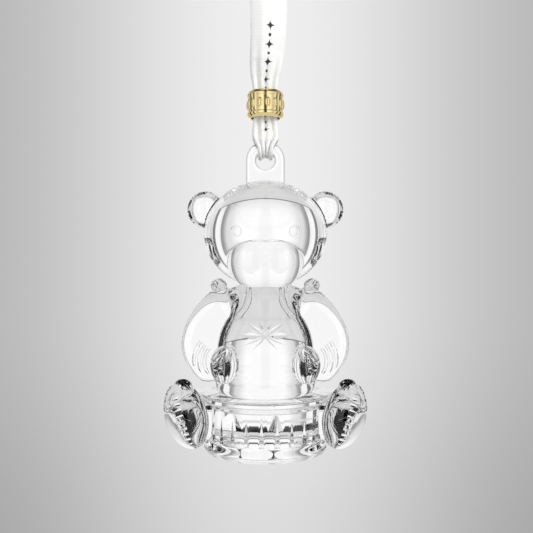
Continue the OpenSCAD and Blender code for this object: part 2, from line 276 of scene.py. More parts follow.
def studio_material():
    material, tree, output = new_material("studio_light")
    split = add_node(tree, "ShaderNodeSeparateXYZ", {0: object_place(tree)}).outputs
    degrees = 180 / math.pi
    # round: 0 straight behind the bear, 180 in front of it
    around = sum_up(tree, "MULTIPLY", sum_up(tree, "ARCTAN2", split[0], split[1]), degrees)
    turn = sum_up(tree, "ABSOLUTE", around)
    flat = sum_up(tree, "SQRT", sum_up(tree, "ADD", sum_up(tree, "MULTIPLY", split[0], split[0]),
                                       sum_up(tree, "MULTIPLY", split[1], split[1])))
    rise = sum_up(tree, "ARCTAN2", sum_up(tree, "SUBTRACT", split[2], CENTRE_Z), flat)
    up = sum_up(tree, "MULTIPLY", rise, degrees)
    # what the eye sees: a pale grey with a painted shade that falls off gently to the sides and towards the
    # floor
    sides = ramp_between(tree, turn, *SEEN_SIDES)
    recover = ramp_between(tree, turn, *SEEN_RECOVER)
    low = ramp_between(tree, up, *SEEN_LOW)
    seen = sum_up(tree, "MULTIPLY", sum_up(tree, "ADD", sides, recover), low)

    # what the glass sees: a bright field, falling to grey beside it, with narrow dark flags further round
    beside = shades_along(tree, sum_up(tree, "DIVIDE", turn, 180.0), [(t / 180, v) for t, v in ROUND_SHADES])
    above = shades_along(tree, sum_up(tree, "DIVIDE", sum_up(tree, "ADD", up, 90.0), 180.0),
                         [((t + 90) / 180, v) for t, v in HEIGHT_SHADES])
    front = ramp_between(tree, turn, *FRONT_LIFT)
    field = sum_up(tree, "MULTIPLY", sum_up(tree, "MULTIPLY", beside, above), front)
    is_eye = add_node(tree, "ShaderNodeLightPath").outputs["Is Camera Ray"]
    strength = add_node(tree, "ShaderNodeMix", {"Factor": is_eye, "A": field, "B": seen}, data_type="FLOAT")
    add_glow(material, output, strength.outputs[0])
    return material



def shades_along(tree, value, shades):
    """A brightness for each place along a value that runs from 0 to 1."""
    ramp = add_node(tree, "ShaderNodeValToRGB", {"Fac": value})
    ramp.color_ramp.interpolation = "EASE"
    stops = ramp.color_ramp.elements
    while len(stops) < len(shades):
        stops.new(0.5)
    for stop, (place, shade) in zip(stops, shades):
        stop.position = place
    for stop, (place, shade) in zip(stops, shades):
        stop.color = (shade, shade, shade, 1)
    return ramp.outputs["Color"]


points, faces = lathe(dome_outline()[::-1], ROUND_STEPS, closed=False)
backdrop = new_mesh_object("backdrop", points, faces, studio_material())
merge_doubles(backdrop, 1e-5)
print("dome:", len(backdrop.data.polygons), "faces")

# %% [markdown]
# Glass is best looked at over a table, and the far edge of that table is a dark line low behind
# the piece. Seen through the drum it becomes the dark blocks between the wedge cuts, and the ball of
# the head shows it upside down, as the edge of a grey cap. This disc is that table: the eye doesn't
# see it, the glass does.

# %% Table under the glass
TABLE_Z = UNDERSIDE - 0.042
TABLE_R, TABLE_EDGE = 0.215, 0.226
# radius and height of the shelf's inner and outer edge, and the heights of the slip under it
SHELF = [(0.080, UNDERSIDE - 0.007), (0.142, UNDERSIDE - 0.017)]
SLIP_R, SLIP_LOW, SLIP_HIGH = 0.140, UNDERSIDE - 0.036, UNDERSIDE - 0.0235


def emitting(name, strength):
    material, tree, output = new_material(name)
    add_glow(material, output, strength)
    return material


table_profile = [(0.001, TABLE_Z), (TABLE_R, TABLE_Z), (TABLE_EDGE, TABLE_Z + 0.0005)]
table_points, table_faces = lathe(table_profile, ROUND_STEPS, closed=False)
table = new_mesh_object("light_table", table_points, table_faces, emitting("table_top", 0.7))
table.data.materials.append(emitting("table_edge", 0.22))
for face in table.data.polygons:
    face.material_index = int(Vector(face.center).xy.length > TABLE_R)
table.visible_camera = False

# %% [markdown]
# The drum needs a darker ground than the head does. A black slip stands low behind the drum, under a
# white sloping shelf. From the height of the drum the slip is seen below the shelf, and from higher up
# the shelf hides it, so only the drum gets its dark blocks.

# %% Slip and shelf behind the drum
def stand_behind(name, profile, strength):
    points, faces = lathe(profile, ROUND_STEPS, closed=False)
    behind = [f for f in faces if points[f[0]][1] > 0.3 * profile[0][0]]
    piece = new_mesh_object(name, points, behind, emitting(name + "_light", strength))
    piece.visible_camera = False


stand_behind("black_slip", [(SLIP_R, SLIP_LOW), (SLIP_R, SLIP_HIGH)], 0.01)
stand_behind("white_shelf", SHELF, 0.72)

# %% [markdown]
# Large soft lights give the ribbon a bright and a shaded flank: a key from the upper right and a
# much weaker fill from the left. They light cloth only. Glass and gold show the dome, so the lamps
# are kept out of their reflections.

# %% Soft lights
LIGHTS_AIM = Vector((0, 0, -0.07))
# name, place, width, height and power
LIGHTS = [("key", (0.46, -0.44, 0.22), 0.42, 0.42, 3.1),
          ("fill", (-0.50, -0.38, 0.05), 0.30, 0.50, 0.35),
          ("top", (0.05, 0.10, 0.60), 0.50, 0.35, 0.6)]
for name, place, wide, high, power in LIGHTS:
    data = bpy.data.lights.new(name, "AREA")
    data.shape, data.size, data.size_y, data.energy = "RECTANGLE", wide, high, power
    lamp = bpy.data.objects.new(name, data)
    lamp.location = place
    aim = LIGHTS_AIM - lamp.location
    lamp.rotation_mode = "QUATERNION"
    lamp.rotation_quaternion = aim.to_track_quat("-Z", "Y")
    lamp.visible_camera = False
    lamp.visible_glossy = False
    lamp.visible_transmission = False
    bpy.context.scene.collection.objects.link(lamp)
world = bpy.data.worlds.new("studio_air")
world.use_nodes = True
world.node_tree.nodes["Background"].inputs[0].default_value = (0.8, 0.8, 0.8, 1)
bpy.context.scene.world = world
print(len(LIGHTS), "soft lights")


# %% [markdown]
# ## Shared effects
#
# Two effects turn up on more than one finish, so each is a node group with named inputs. *Handling*
# gives the faint uneven gloss that wiping and fingers leave. *Fine waves* gives a height for a Bump
# node: the slow ripple of a surface that was pressed, polished or woven by hand.

# %% Shared effects
def new_group(name, inputs, result):
    group = bpy.data.node_groups.new(name, "ShaderNodeTree")
    add_inputs(group, inputs)
    group.interface.new_socket(name=result, in_out="OUTPUT", socket_type="NodeSocketFloat")
    return group, group.nodes.new("NodeGroupInput"), group.nodes.new("NodeGroupOutput")


def handling_group():
    group, given, result = new_group(
        "handling",
        [("Vector", "Vector", None), ("Scale", "Float", 90.0),
         ("Low", "Float", 0.0), ("High", "Float", 0.04)],
        "Roughness")
    noise = add_node(group, "ShaderNodeTexNoise",
                     {"Vector": given.outputs["Vector"], "Scale": given.outputs["Scale"], "Detail": 3.0})
    spread = add_node(group, "ShaderNodeMapRange",
                      {"Value": noise.outputs[0], "From Min": 0.42, "From Max": 0.68,
                       "To Min": given.outputs["Low"], "To Max": given.outputs["High"]})
    group.links.new(spread.outputs[0], result.inputs["Roughness"])
    return group


def waves_group():
    group, given, result = new_group(
        "fine_waves",
        [("Vector", "Vector", None), ("Scale", "Float", 120.0), ("Stretch", "Vector", (1.0, 1.0, 1.0))],
        "Height")
    stretched = add_node(group, "ShaderNodeVectorMath",
                         {0: given.outputs["Vector"], 1: given.outputs["Stretch"]}, operation="MULTIPLY")
    noise = add_node(group, "ShaderNodeTexNoise",
                     {"Vector": stretched.outputs[0], "Scale": given.outputs["Scale"], "Detail": 1.5})
    group.links.new(noise.outputs[0], result.inputs["Height"])
    return group


HANDLING = handling_group()
WAVES = waves_group()


def use_group(tree, group, **values):
    return add_node(tree, "ShaderNodeGroup", values, node_tree=group).outputs[0]


print("groups:", HANDLING.name, WAVES.name)


# %% [markdown]
# ## Crystal
#
# Crystal glass bends light a little more than window glass, which helps its sparkle. The pressed
# and fire-polished surfaces are clear with a very slow ripple. The cuts of the wheel are a second
# finish: they are polished too, but never quite as clear, so they catch a little more light.

# %% Crystal materials
CRYSTAL_IOR = 1.53


def crystal_material(name, low, high, ripple, wave_scale):
    material, tree, output = new_material(name)
    place = object_place(tree)
    gloss = use_group(tree, HANDLING, Vector=place, Scale=70.0, Low=low, High=high)
    height = use_group(tree, WAVES, Vector=place, Scale=wave_scale, Stretch=(1.0, 1.0, 0.6))
    add_surface(tree, output, height, ripple, {
        "Base Color": (1.0, 1.0, 1.0, 1.0), "Roughness": gloss, "IOR": CRYSTAL_IOR,
        "Transmission Weight": 1.0})
    return material


CRYSTAL = crystal_material("clear_crystal", 0.0, 0.012, 0.00002, 130.0)
CRYSTAL_CUT = crystal_material("wheel_cut_crystal", 0.05, 0.12, 0.00001, 900.0)
print("crystal:", CRYSTAL.name, "and", CRYSTAL_CUT.name)


# %% [markdown]
# ## The bear's body
#
# A pressed bear is one piece of glass: its head, arms and legs flow into each other with small soft
# fillets. Joining separate solids leaves hard creases, so the body is described as a *distance
# field*: for any point in space, how far it is from the glass, negative inside. Two fields join with a
# soft minimum, and the softness is the radius of the fillet. Everything is doubled for free, because
# the field only ever looks at the distance from the middle plane.

# %% Distance fields
def ellipsoid(p, middle, half):
    q = (p - np.array(middle)) / np.array(half)
    a = np.linalg.norm(q, axis=1)
    b = np.maximum(np.linalg.norm(q / np.array(half), axis=1), 1e-9)
    return a * (a - 1) / b


def capsule(p, a, b, radius):
    a, b = np.array(a, float), np.array(b, float)
    t = np.clip(((p - a) @ (b - a)) / ((b - a) @ (b - a)), 0, 1)
    return np.linalg.norm(p - (a + t[:, None] * (b - a)), axis=1) - radius


def soft_join(a, b, soft):
    h = np.maximum(soft - np.abs(a - b), 0) / soft
    return np.minimum(a, b) - h * h * soft / 4


def soft_cut(a, b, soft):
    return -soft_join(-a, b, soft)


def turned_about_y(p, origin, degrees):
    """The point in the axes of a piece that is leant by that angle about the front-to-back axis."""
    c, s = math.cos(math.radians(degrees)), math.sin(math.radians(degrees))
    q = p - np.array(origin)
    return np.stack([q[:, 0] * c - q[:, 2] * s, q[:, 1], q[:, 0] * s + q[:, 2] * c], 1)


# %% [markdown]
# Each piece takes its place and its size from the frame's box of the same name. The torso is a full
# belly that narrows to the neck, and the arms are long drops with flat front and back faces. Those
# flat faces are why the arms look like clear windows.

# %% The pieces of the body
head_box, muzzle_box, ear_box = box_mm("head"), box_mm("muzzle"), box_mm("ear_left")
torso_box, paw_box, foot_box = box_mm("torso"), box_mm("paw_left"), box_mm("foot_left")
rim_box, wall_box, flange_box = box_mm("drum_rim"), box_mm("drum_wall"), box_mm("drum_flange")
drum_top, rim_r, wall_r, flange_r = rim_box.high[2], rim_box.half[0], wall_box.half[0], flange_box.half[0]
print("head", head_box.mid.round(1), "belly radius", torso_box.half[0].round(1),
      "drum top", drum_top.round(1))

# the torso: its radii, their heights, how it tapers and how soft the bend under its dome is
BELLY_R, NECK_R = torso_box.half[0], 5.2
BELLY_Z, NECK_Z = drum_top + 3.6, head_box.low[2] + 1.0
BELLY_TAPER, DOME_Z, DOME_SOFT = 0.06, drum_top + 15.8, 1.5
SEAT_EDGE, SEAT_DEPTH, SEAT_SOFT = 2.2, 3.6, 2.4
DOME_SLOPE = (BELLY_R - NECK_R - BELLY_TAPER * (NECK_Z - BELLY_Z)) / (NECK_Z - DOME_Z)
ARM_TOP = np.array([11.4, -2.0, head_box.low[2] + 1.5])
# an arm: its lean in degrees, length, fullest radius and where that is, half thickness and edge
ARM_LEAN, ARM_L, ARM_R, ARM_FULL, ARM_FLAT, ARM_EDGE = 10.0, 27.0, 8.2, 0.6, 4.6, 1.2
KNOB_AT, KNOB_HALF = (12.3, -4.4, ARM_TOP[2] - 0.7), (2.2, 2.0, 1.8)
YOKE_AT, YOKE_HALF = (0, -1.8, 39.6), (13.2, 5.6, 5.4)
PAW_AT = np.array([paw_box.mid[0] - 0.4, paw_box.mid[1] - 0.4, paw_box.mid[2] + 1.0])
PAW_HALF = (3.6, 3.9, 4.9)
# the muzzle: a cheek lobe to each side of the middle, and the snout over both
CHEEK = 2.8
MUZZLE_HALF = (muzzle_box.half[0] - CHEEK, 6.5, 6.4)
MUZZLE_AT = np.array([CHEEK, muzzle_box.low[1] + 6.5, muzzle_box.low[2] + 6.4])
SNOUT_AT, SNOUT_HALF = (0, MUZZLE_AT[1], MUZZLE_AT[2]), (muzzle_box.half[0], 6.3, 6.15)
# an ear, and the big ball that hollows its front
EAR_R, EAR_T, DISH_R, DISH_OUT = 4.9, 3.2, 9.0, 8.1
EAR_AT = np.array([ear_box.high[0] - EAR_R, ear_box.low[1] + EAR_T, ear_box.high[2] - EAR_R])
FOOT_AT, FOOT_HALF, FOOT_TILT = np.array([foot_box.mid[0] - 0.1, -8.0, 10.6]), (5.5, 5.0, 8.9), 17.0
TOE_AT, TOE_HALF = (21.3, -9.2, 18.0), (2.6, 2.4, 2.3)
LEG_FRONT, LEG_BACK, LEG_R = (17.4, 0.0, 8.8), (17.4, 6.0, 8.8), 6.6


def torso_radius(z):
    """Nearly upright at the belly, then closing in evenly like a dome, with a soft bend between."""
    bend = DOME_SLOPE * DOME_SOFT * np.log1p(np.exp((z - DOME_Z) / DOME_SOFT))
    return BELLY_R - BELLY_TAPER * (z - BELLY_Z) - bend


def torso_field(p):
    around = np.hypot(p[:, 0], p[:, 1])
    z = p[:, 2]
    slope = (torso_radius(z + 0.05) - torso_radius(z - 0.05)) / 0.1
    side = (around - np.maximum(torso_radius(z), NECK_R)) / np.sqrt(1 + slope ** 2)
    side = np.maximum(side, z - NECK_Z - 4)
    out = np.maximum(around - (BELLY_R - SEAT_EDGE), 0) / SEAT_EDGE
    down = np.maximum(BELLY_Z - z, 0) / SEAT_DEPTH
    seat = (np.hypot(out, down) - 1) * SEAT_SOFT
    return np.where(z > BELLY_Z, side, seat)


def arm_radius(along):
    """An arm swells from the shoulder to its fullest part, then closes in quickly to the wrist."""
    swelling = np.sin(math.pi / 2 * np.clip(along / ARM_FULL, 1e-3, 1)) ** 0.85
    closing = np.cos(math.pi / 2 * np.clip((along - ARM_FULL) / (1 - ARM_FULL), 0, 1 - 1e-3)) ** 0.6
    return ARM_R * swelling * closing


def arm_field(p):
    q = turned_about_y(p, ARM_TOP, -ARM_LEAN)
    along = np.clip(-q[:, 2] / ARM_L, 1e-3, 1 - 1e-3)
    radius = arm_radius(along)
    slope = (arm_radius(along + 1e-3) - radius) / (1e-3 * ARM_L)
    around = np.hypot(q[:, 0], q[:, 1])
    drop = (around ** 2 - radius ** 2) / (2 * np.sqrt(around ** 2 + (radius * slope) ** 2) + 1e-3)
    past = np.maximum(-q[:, 2] - ARM_L, 0) + np.maximum(q[:, 2], 0)
    drop = np.where(past > 0, np.hypot(np.maximum(drop, 0), past), drop)
    faces = np.abs(q[:, 1]) - ARM_FLAT
    return -soft_join(-drop, -faces, ARM_EDGE)


def body_field(p):
    """The whole bear but its eye and drum. The last number of each join is its fillet."""
    p = np.column_stack([np.abs(p[:, 0]), p[:, 1], p[:, 2]])
    lobe = ellipsoid(p, MUZZLE_AT, MUZZLE_HALF)
    other = ellipsoid(p * np.array([-1, 1, 1]), MUZZLE_AT, MUZZLE_HALF)
    muzzle = soft_join(soft_join(lobe, other, 0.9), ellipsoid(p, SNOUT_AT, SNOUT_HALF), 0.6)
    dish = ellipsoid(p, EAR_AT + np.array([0, -EAR_T - DISH_OUT, 0]), (DISH_R, DISH_R, DISH_R))
    ear = soft_cut(ellipsoid(p, EAR_AT, (EAR_R, EAR_T, EAR_R)), dish, 0.3)
    foot = ellipsoid(turned_about_y(p, FOOT_AT, FOOT_TILT), (0, 0, 0), FOOT_HALF)
    foot = soft_join(foot, ellipsoid(p, TOE_AT, TOE_HALF), 0.5)
    leg = soft_join(capsule(p, LEG_FRONT, LEG_BACK, LEG_R), foot, 0.8)
    body = soft_join(torso_field(p), ellipsoid(p, YOKE_AT, YOKE_HALF), 3.0)
    body = soft_join(body, ellipsoid(p, head_box.mid, head_box.half), 0.8)
    body = soft_join(body, arm_field(p), 1.1)
    body = soft_join(body, ellipsoid(p, KNOB_AT, KNOB_HALF), 0.4)
    body = soft_join(body, ellipsoid(p, PAW_AT, PAW_HALF), 0.6)
    body = soft_join(body, leg, 0.3)
    body = soft_join(body, ear, 0.6)
    return soft_join(body, muzzle, 0.5)



# %% [markdown]
# A field is only numbers, so it has to be skinned. A *surface net* puts one point in every small cube
# that the surface passes through and joins the points of neighbouring cubes. Two rounds of evening
# out follow, and each point is then pulled along the field's slope until it lies exactly on the
# surface, so the skin is as smooth as the formulas are. Smoothness matters more than on any painted
# piece, because glass shows each dent as a bent line.

# %% Surface net
def surface_net(field, low, high, step):
    low = np.array(low, float)
    shape = tuple(int(math.ceil(v)) + 1 for v in (np.array(high) - low) / step)
    axes = [low[i] + step * np.arange(shape[i]) for i in range(3)]
    grid = np.stack(np.meshgrid(*axes, indexing="ij"), -1).reshape(-1, 3)
    value = np.concatenate([field(part) for part in np.array_split(grid, 8)]).reshape(shape)
    for axis in (0, 1, 2) * 3:  # two corners that only meet across a square are joined, so no edge forks
        v = np.moveaxis(value, axis, 0)
        a, b, c, d = v[:, :-1, :-1], v[:, 1:, :-1], v[:, :-1, 1:], v[:, 1:, 1:]
        for i, j, k in np.argwhere(((a < 0) == (d < 0)) & ((b < 0) == (c < 0)) & ((a < 0) != (b < 0))):
            v[i, j:j + 2, k:k + 2] = np.minimum(v[i, j:j + 2, k:k + 2], -0.02)
    inside = value < 0
    corners = [(i, j, k) for i in (0, 1) for j in (0, 1) for k in (0, 1)]

    def shifted(a, c):
        return a[c[0]:shape[0] - 1 + c[0], c[1]:shape[1] - 1 + c[1], c[2]:shape[2] - 1 + c[2]]

    filled = sum(shifted(inside, c).astype(np.int8) for c in corners)
    active = (filled > 0) & (filled < 8)
    number = np.full(active.shape, -1)
    cells = np.argwhere(active)
    number[active] = np.arange(len(cells))
    total, count = np.zeros((len(cells), 3)), np.zeros(len(cells))
    for a in corners:
        for b in corners:
            if sum(b) - sum(a) != 1 or any(y < x for x, y in zip(a, b)):
                continue
            fa, fb = (value[tuple((cells + np.array(c)).T)] for c in (a, b))
            crossed = (fa < 0) != (fb < 0)
            t = np.where(crossed, fa / np.where(crossed, fa - fb, 1), 0)
            spot = np.array(a) + t[:, None] * (np.array(b) - np.array(a))
            total += np.where(crossed[:, None], spot, 0)
            count += crossed
    points = low + (cells + total / count[:, None]) * step
    faces = []
    for axis in range(3):
        u, v = (axis + 1) % 3, (axis + 2) % 3
        one = np.moveaxis(inside, axis, 0)
        change = np.moveaxis(one[:-1] != one[1:], 0, axis)
        edges = np.argwhere(change)
        edges = edges[(edges[:, u] > 0) & (edges[:, v] > 0)
                      & (edges[:, u] < shape[u] - 1) & (edges[:, v] < shape[v] - 1)]
        ring = []
        for du, dv in ((-1, -1), (0, -1), (0, 0), (-1, 0)):
            cell = edges.copy()
            cell[:, u] += du
            cell[:, v] += dv
            ring.append(number[tuple(cell.T)])
        ring = np.stack(ring, 1)
        outward = inside[tuple(edges.T)]
        faces.append(np.where(outward[:, None], ring, ring[:, ::-1]))
    faces = np.concatenate(faces)

    def slope(q):
        nudge = 0.01
        return np.stack([(field(q + d) - field(q - d)) / (2 * nudge) for d in np.eye(3) * nudge], 1)

    for round_number in range(4):
        if round_number < 2:
            around, weight = np.zeros_like(points), np.zeros(len(points))
            for c in range(4):
                a, b = faces[:, c], faces[:, (c + 1) % 4]
                np.add.at(around, a, points[b])
                np.add.at(weight, a, 1)
                np.add.at(around, b, points[a])
                np.add.at(weight, b, 1)
            points = 0.4 * points + 0.6 * around / weight[:, None]
        g = slope(points)
        move = (field(points) / np.maximum((g ** 2).sum(1), 0.05))[:, None] * g
        points = points - np.clip(move, -step, step)
    return points, faces


def edges_that_fork(faces):
    """How many edges of a skin don't have exactly two faces."""
    pairs = np.sort(np.concatenate([faces[:, [c, (c + 1) % 4]] for c in range(4)]), 1)
    return int((np.unique(pairs, axis=0, return_counts=True)[1] != 2).sum())


BODY_LOW, BODY_HIGH, BODY_STEP = (-27.8, -18.6, -0.6), (27.8, 16.4, 74.0), 0.46
points, faces = surface_net(body_field, BODY_LOW, BODY_HIGH, BODY_STEP)
body = new_mesh_object("crystal_bear", in_frame(points), faces, CRYSTAL)
print("body net:", len(points), "points,", count_triangles(body), "triangles;",
      edges_that_fork(faces), "edges fork")

# %% [markdown]
# ## The eye it hangs from
#
# The glass tab on the crown is a flat tongue with a round hole, its edges rounded by fire polishing.
# It is skinned from a field of its own on a finer net, because its rounding is only a millimetre.

# %% Hanging eye
eye_box = box_mm("hanging_eye")
EYE_R, EYE_T, EYE_HOLE, EYE_ROUND = eye_box.half[0], eye_box.half[1], 2.45, 1.0
EYE_Z = eye_box.high[2] - EYE_R
EYE_FOOT = head_box.high[2] - 7.0


def eye_field(p):
    disc = np.hypot(p[:, 0], p[:, 2] - EYE_Z) - EYE_R
    stem = np.maximum(np.abs(p[:, 0]) - EYE_R, np.maximum(p[:, 2] - EYE_Z, EYE_FOOT - p[:, 2]))
    flat = np.maximum(np.minimum(disc, stem), EYE_HOLE - np.hypot(p[:, 0], p[:, 2] - EYE_Z))
    a, b = flat + EYE_ROUND, np.abs(p[:, 1]) - EYE_T + EYE_ROUND
    return np.hypot(np.maximum(a, 0), np.maximum(b, 0)) + np.minimum(np.maximum(a, b), 0) - EYE_ROUND


points, faces = surface_net(eye_field, (-5.8, -2.1, EYE_FOOT - 0.5), (5.8, 2.1, eye_box.high[2] + 0.5), 0.22)
eye = new_mesh_object("hanging_eye_skin", in_frame(points), faces, CRYSTAL)
print("eye net:", len(points), "points")

# %% [markdown]
# ## The drum
#
# The drum was turned in the mould, so it is a lathe shape here too. Its outline keeps the flared rim,
# the step down to the upright wall and the rounded foot flange, each with a small polished radius.

# %% Drum
RIM_LOW, FLANGE_TOP = rim_box.low[2], flange_box.high[2]


def rounded(corners, radius, steps=4):
    """An outline with each inner corner replaced by a small arc-like curve."""
    corners = [np.array(c, float) for c in corners]
    out = [corners[0]]
    for before, here, after in zip(corners, corners[1:], corners[2:]):
        a, b = (here + (end - here) / np.linalg.norm(end - here) * min(radius, np.linalg.norm(end - here) / 2)
                for end in (before, after))
        for i in range(steps + 1):
            t = i / steps
            out.append((1 - t) ** 2 * a + 2 * t * (1 - t) * here + t ** 2 * b)
    out.append(corners[-1])
    return out


drum_corners = [(0.0, 0.0), (flange_r - 0.5, 0.0), (flange_r, 0.9), (flange_r, 1.6), (flange_r - 0.5, 2.2),
                (wall_r, FLANGE_TOP + 0.5), (wall_r, RIM_LOW - 0.4), (rim_r - 0.5, RIM_LOW + 0.7),
                (rim_r, RIM_LOW + 1.1), (rim_r, drum_top), (0.0, drum_top)]
drum_points, drum_faces = lathe(rounded(drum_corners, 0.45), 240, closed=False)
drum = new_mesh_object("drum_skin", in_frame(drum_points), drum_faces, CRYSTAL)
merge_doubles(drum)
print("drum:", count_triangles(drum), "triangles")

# %% [markdown]
# ## Cutting tools in Geometry Nodes
#
# The wheel cuts repeat: wedges round the drum, flutes on the ears, ribs on the soles. Each is one
# small tool, copied by a geometry tree along an arc or a line and then taken out of the glass with a
# Boolean. The trees take their sizes as named inputs, so the same arc tree serves the drum, the ears
# and the ornament of the bead.

# %% Geometry trees
def new_tree(name, inputs):
    tree = bpy.data.node_groups.new(name, "GeometryNodeTree")
    tree.is_modifier = True
    add_inputs(tree, inputs + [("Material", "Material", None)])
    tree.interface.new_socket(name="Geometry", in_out="OUTPUT", socket_type="NodeSocketGeometry")
    return tree, tree.nodes.new("NodeGroupInput").outputs, tree.nodes.new("NodeGroupOutput").inputs


def finish_tree(tree, copies, given, result):
    """One copy of an instance on each point, made real and given its material."""
    instances = add_node(tree, "GeometryNodeInstanceOnPoints", copies)
    real = add_node(tree, "GeometryNodeRealizeInstances", {"Geometry": instances.outputs[0]})
    painted = add_node(tree, "GeometryNodeSetMaterial",
                       {"Geometry": real.outputs[0], "Material": given["Material"]})
    tree.links.new(painted.outputs[0], result["Geometry"])


ARC_INPUTS = [("Count", "Int", 24), ("Radius", "Float", 0.015), ("Start", "Float", 0.0),
              ("Sweep", "Float", 6.0)]


def points_on_arc(tree, given):
    """Points on an arc, and for each the turn that points its X axis away from the arc's middle."""
    arc = add_node(tree, "GeometryNodeCurveArc", {
        "Resolution": given["Count"], "Radius": given["Radius"],
        "Start Angle": given["Start"], "Sweep Angle": given["Sweep"]})
    place = add_node(tree, "GeometryNodeInputPosition").outputs[0]
    turn = add_node(tree, "FunctionNodeAlignRotationToVector", {"Vector": place}, axis="X", pivot_axis="Z")
    return {"Points": arc.outputs["Curve"], "Rotation": turn.outputs[0]}


def arc_of_tools():
    """Pointed four-sided tools on an arc, each with one edge turned to the arc's middle."""
    tree, given, result = new_tree("tools_on_an_arc", ARC_INPUTS + [
        ("Tool radius", "Float", 0.001), ("Tool length", "Float", 0.008), ("Tip", "Float", 0.0)])
    tool = add_node(tree, "GeometryNodeMeshCone", {
        "Vertices": 4, "Radius Top": given["Tip"], "Radius Bottom": given["Tool radius"],
        "Depth": given["Tool length"]})
    finish_tree(tree, {**points_on_arc(tree, given), "Instance": tool.outputs["Mesh"]}, given, result)
    return tree


def arc_of_ovals():
    """Smooth ovals round a ring, for raised ornament."""
    tree, given, result = new_tree("ovals_on_an_arc", ARC_INPUTS + [
        ("Half size", "Vector", (0.0005, 0.0008, 0.0012))])
    ball = add_node(tree, "GeometryNodeMeshUVSphere", {"Segments": 16, "Rings": 10, "Radius": 1.0})
    finish_tree(tree, {**points_on_arc(tree, given), "Instance": ball.outputs["Mesh"],
                       "Scale": given["Half size"]}, given, result)
    return tree


def row_of_bars():
    """Round bars in a row from one point to another, all turned the same way."""
    tree, given, result = new_tree("bars_in_a_row", [
        ("Count", "Int", 6), ("From", "Vector", (0, 0, 0)), ("To", "Vector", (0, 0, 1)),
        ("Bar radius", "Float", 0.0003), ("Bar length", "Float", 0.006), ("Turn", "Vector", (0, 0, 0))])
    line = add_node(tree, "GeometryNodeMeshLine", {
        "Count": given["Count"], "Start Location": given["From"], "Offset": given["To"]}, mode="END_POINTS")
    bar = add_node(tree, "GeometryNodeMeshCylinder", {
        "Vertices": 8, "Radius": given["Bar radius"], "Depth": given["Bar length"]})
    turn = add_node(tree, "FunctionNodeEulerToRotation", {0: given["Turn"]})
    finish_tree(tree, {"Points": line.outputs[0], "Instance": bar.outputs["Mesh"],
                       "Rotation": turn.outputs[0]}, given, result)
    return tree


ARC_TOOLS, ROW_BARS, ARC_OVALS = arc_of_tools(), row_of_bars(), arc_of_ovals()


def placed(*point):
    """A place in the frame, from a point in the maker's millimetres."""
    return Matrix.Translation(Vector(in_frame(point)))


def grow(name, tree, place, **values):
    """Runs a tree on an empty mesh and keeps the result as a plain mesh object, put where place says."""
    holder = bpy.data.objects.new(name + "_seed", bpy.data.meshes.new(name + "_seed"))
    bpy.context.scene.collection.objects.link(holder)
    modifier = holder.modifiers.new("grow", "NODES")
    modifier.node_group = tree
    sockets = {s.name: s.identifier for s in tree.interface.items_tree if s.in_out == "INPUT"}
    for label, value in values.items():
        modifier[sockets[label.replace("_", " ")]] = value
    graph = bpy.context.evaluated_depsgraph_get()
    mesh = bpy.data.meshes.new_from_object(holder.evaluated_get(graph))
    bpy.data.objects.remove(holder)
    mesh.transform(place)
    if place.determinant() < 0:
        mesh.flip_normals()
    piece = bpy.data.objects.new(name, mesh)
    bpy.context.scene.collection.objects.link(piece)
    return piece


def cut_or_join(piece, tools, operation):
    """Takes tools out of a piece, or joins them to it, and removes the tools."""
    for tool in tools:
        modifier = piece.modifiers.new("work", "BOOLEAN")
        modifier.operation = operation
        modifier.solver = "MANIFOLD"
        modifier.material_mode = "TRANSFER"
        modifier.object = tool
    graph = bpy.context.evaluated_depsgraph_get()
    mesh = bpy.data.meshes.new_from_object(piece.evaluated_get(graph))
    piece.modifiers.clear()
    old, piece.data = piece.data, mesh
    bpy.data.meshes.remove(old)
    for tool in tools:
        bpy.data.objects.remove(tool)


print("trees:", ARC_TOOLS.name, ROW_BARS.name, ARC_OVALS.name)

# %% [markdown]
# ### Wedges round the drum
#
# A row of pointed wedges is cut into the lower part of the wall, deep at the foot and running out to
# a point above, so each tool is a tall four-sided spike.

# %% Wedge cuts
WEDGES, WEDGE_R, WEDGE_START = 24, 0.8, -93.6
WEDGE_LOW, WEDGE_HIGH = FLANGE_TOP + 1.1, RIM_LOW - 2.2
wedges = grow("wedge_tools", ARC_TOOLS, placed(0, 0, WEDGE_LOW), Count=WEDGES, Radius=wall_r * MM,
              Start=math.radians(WEDGE_START), Sweep=math.radians(360 * (WEDGES - 1) / WEDGES),
              Tool_radius=WEDGE_R * MM, Tool_length=(WEDGE_HIGH - WEDGE_LOW) * MM, Material=CRYSTAL_CUT)
cut_or_join(drum, [wedges], "DIFFERENCE")
print("drum after the wedges:", count_triangles(drum), "triangles")

# %% [markdown]
# ### The star on the belly
#
# The star is a wheel cut: long petals with a sharp keel, deepest where they are widest. As one closed
# tool it has an outline of tips and notches on the belly's surface and a keel under each petal. A
# point of the tool is given by its distance round the belly, its height and its depth, so the star
# bends with the belly. Lens petals lie to the sides, and thin rays stand up and down.

# %% Star cut
STAR_Z = drum_top + 16.4
STAR_DEEP, STAR_PROUD, NOTCH_R = 0.45, -1.0, 0.55
# direction in degrees, length, half width and depth of each petal, in millimetres
PETALS = [(0, 7.4, 0.95, 0.8), (17, 5.8, 0.3, 0.3), (34, 5.8, 0.6, 0.55), (62, 4.8, 0.3, 0.3),
          (90, 6.8, 0.5, 0.5), (118, 4.8, 0.3, 0.3), (146, 5.8, 0.6, 0.55), (163, 5.8, 0.3, 0.3),
          (180, 7.4, 0.95, 0.8), (204, 6.4, 0.4, 0.4), (228, 4.9, 0.42, 0.42), (312, 4.9, 0.42, 0.42),
          (336, 6.4, 0.4, 0.4)]


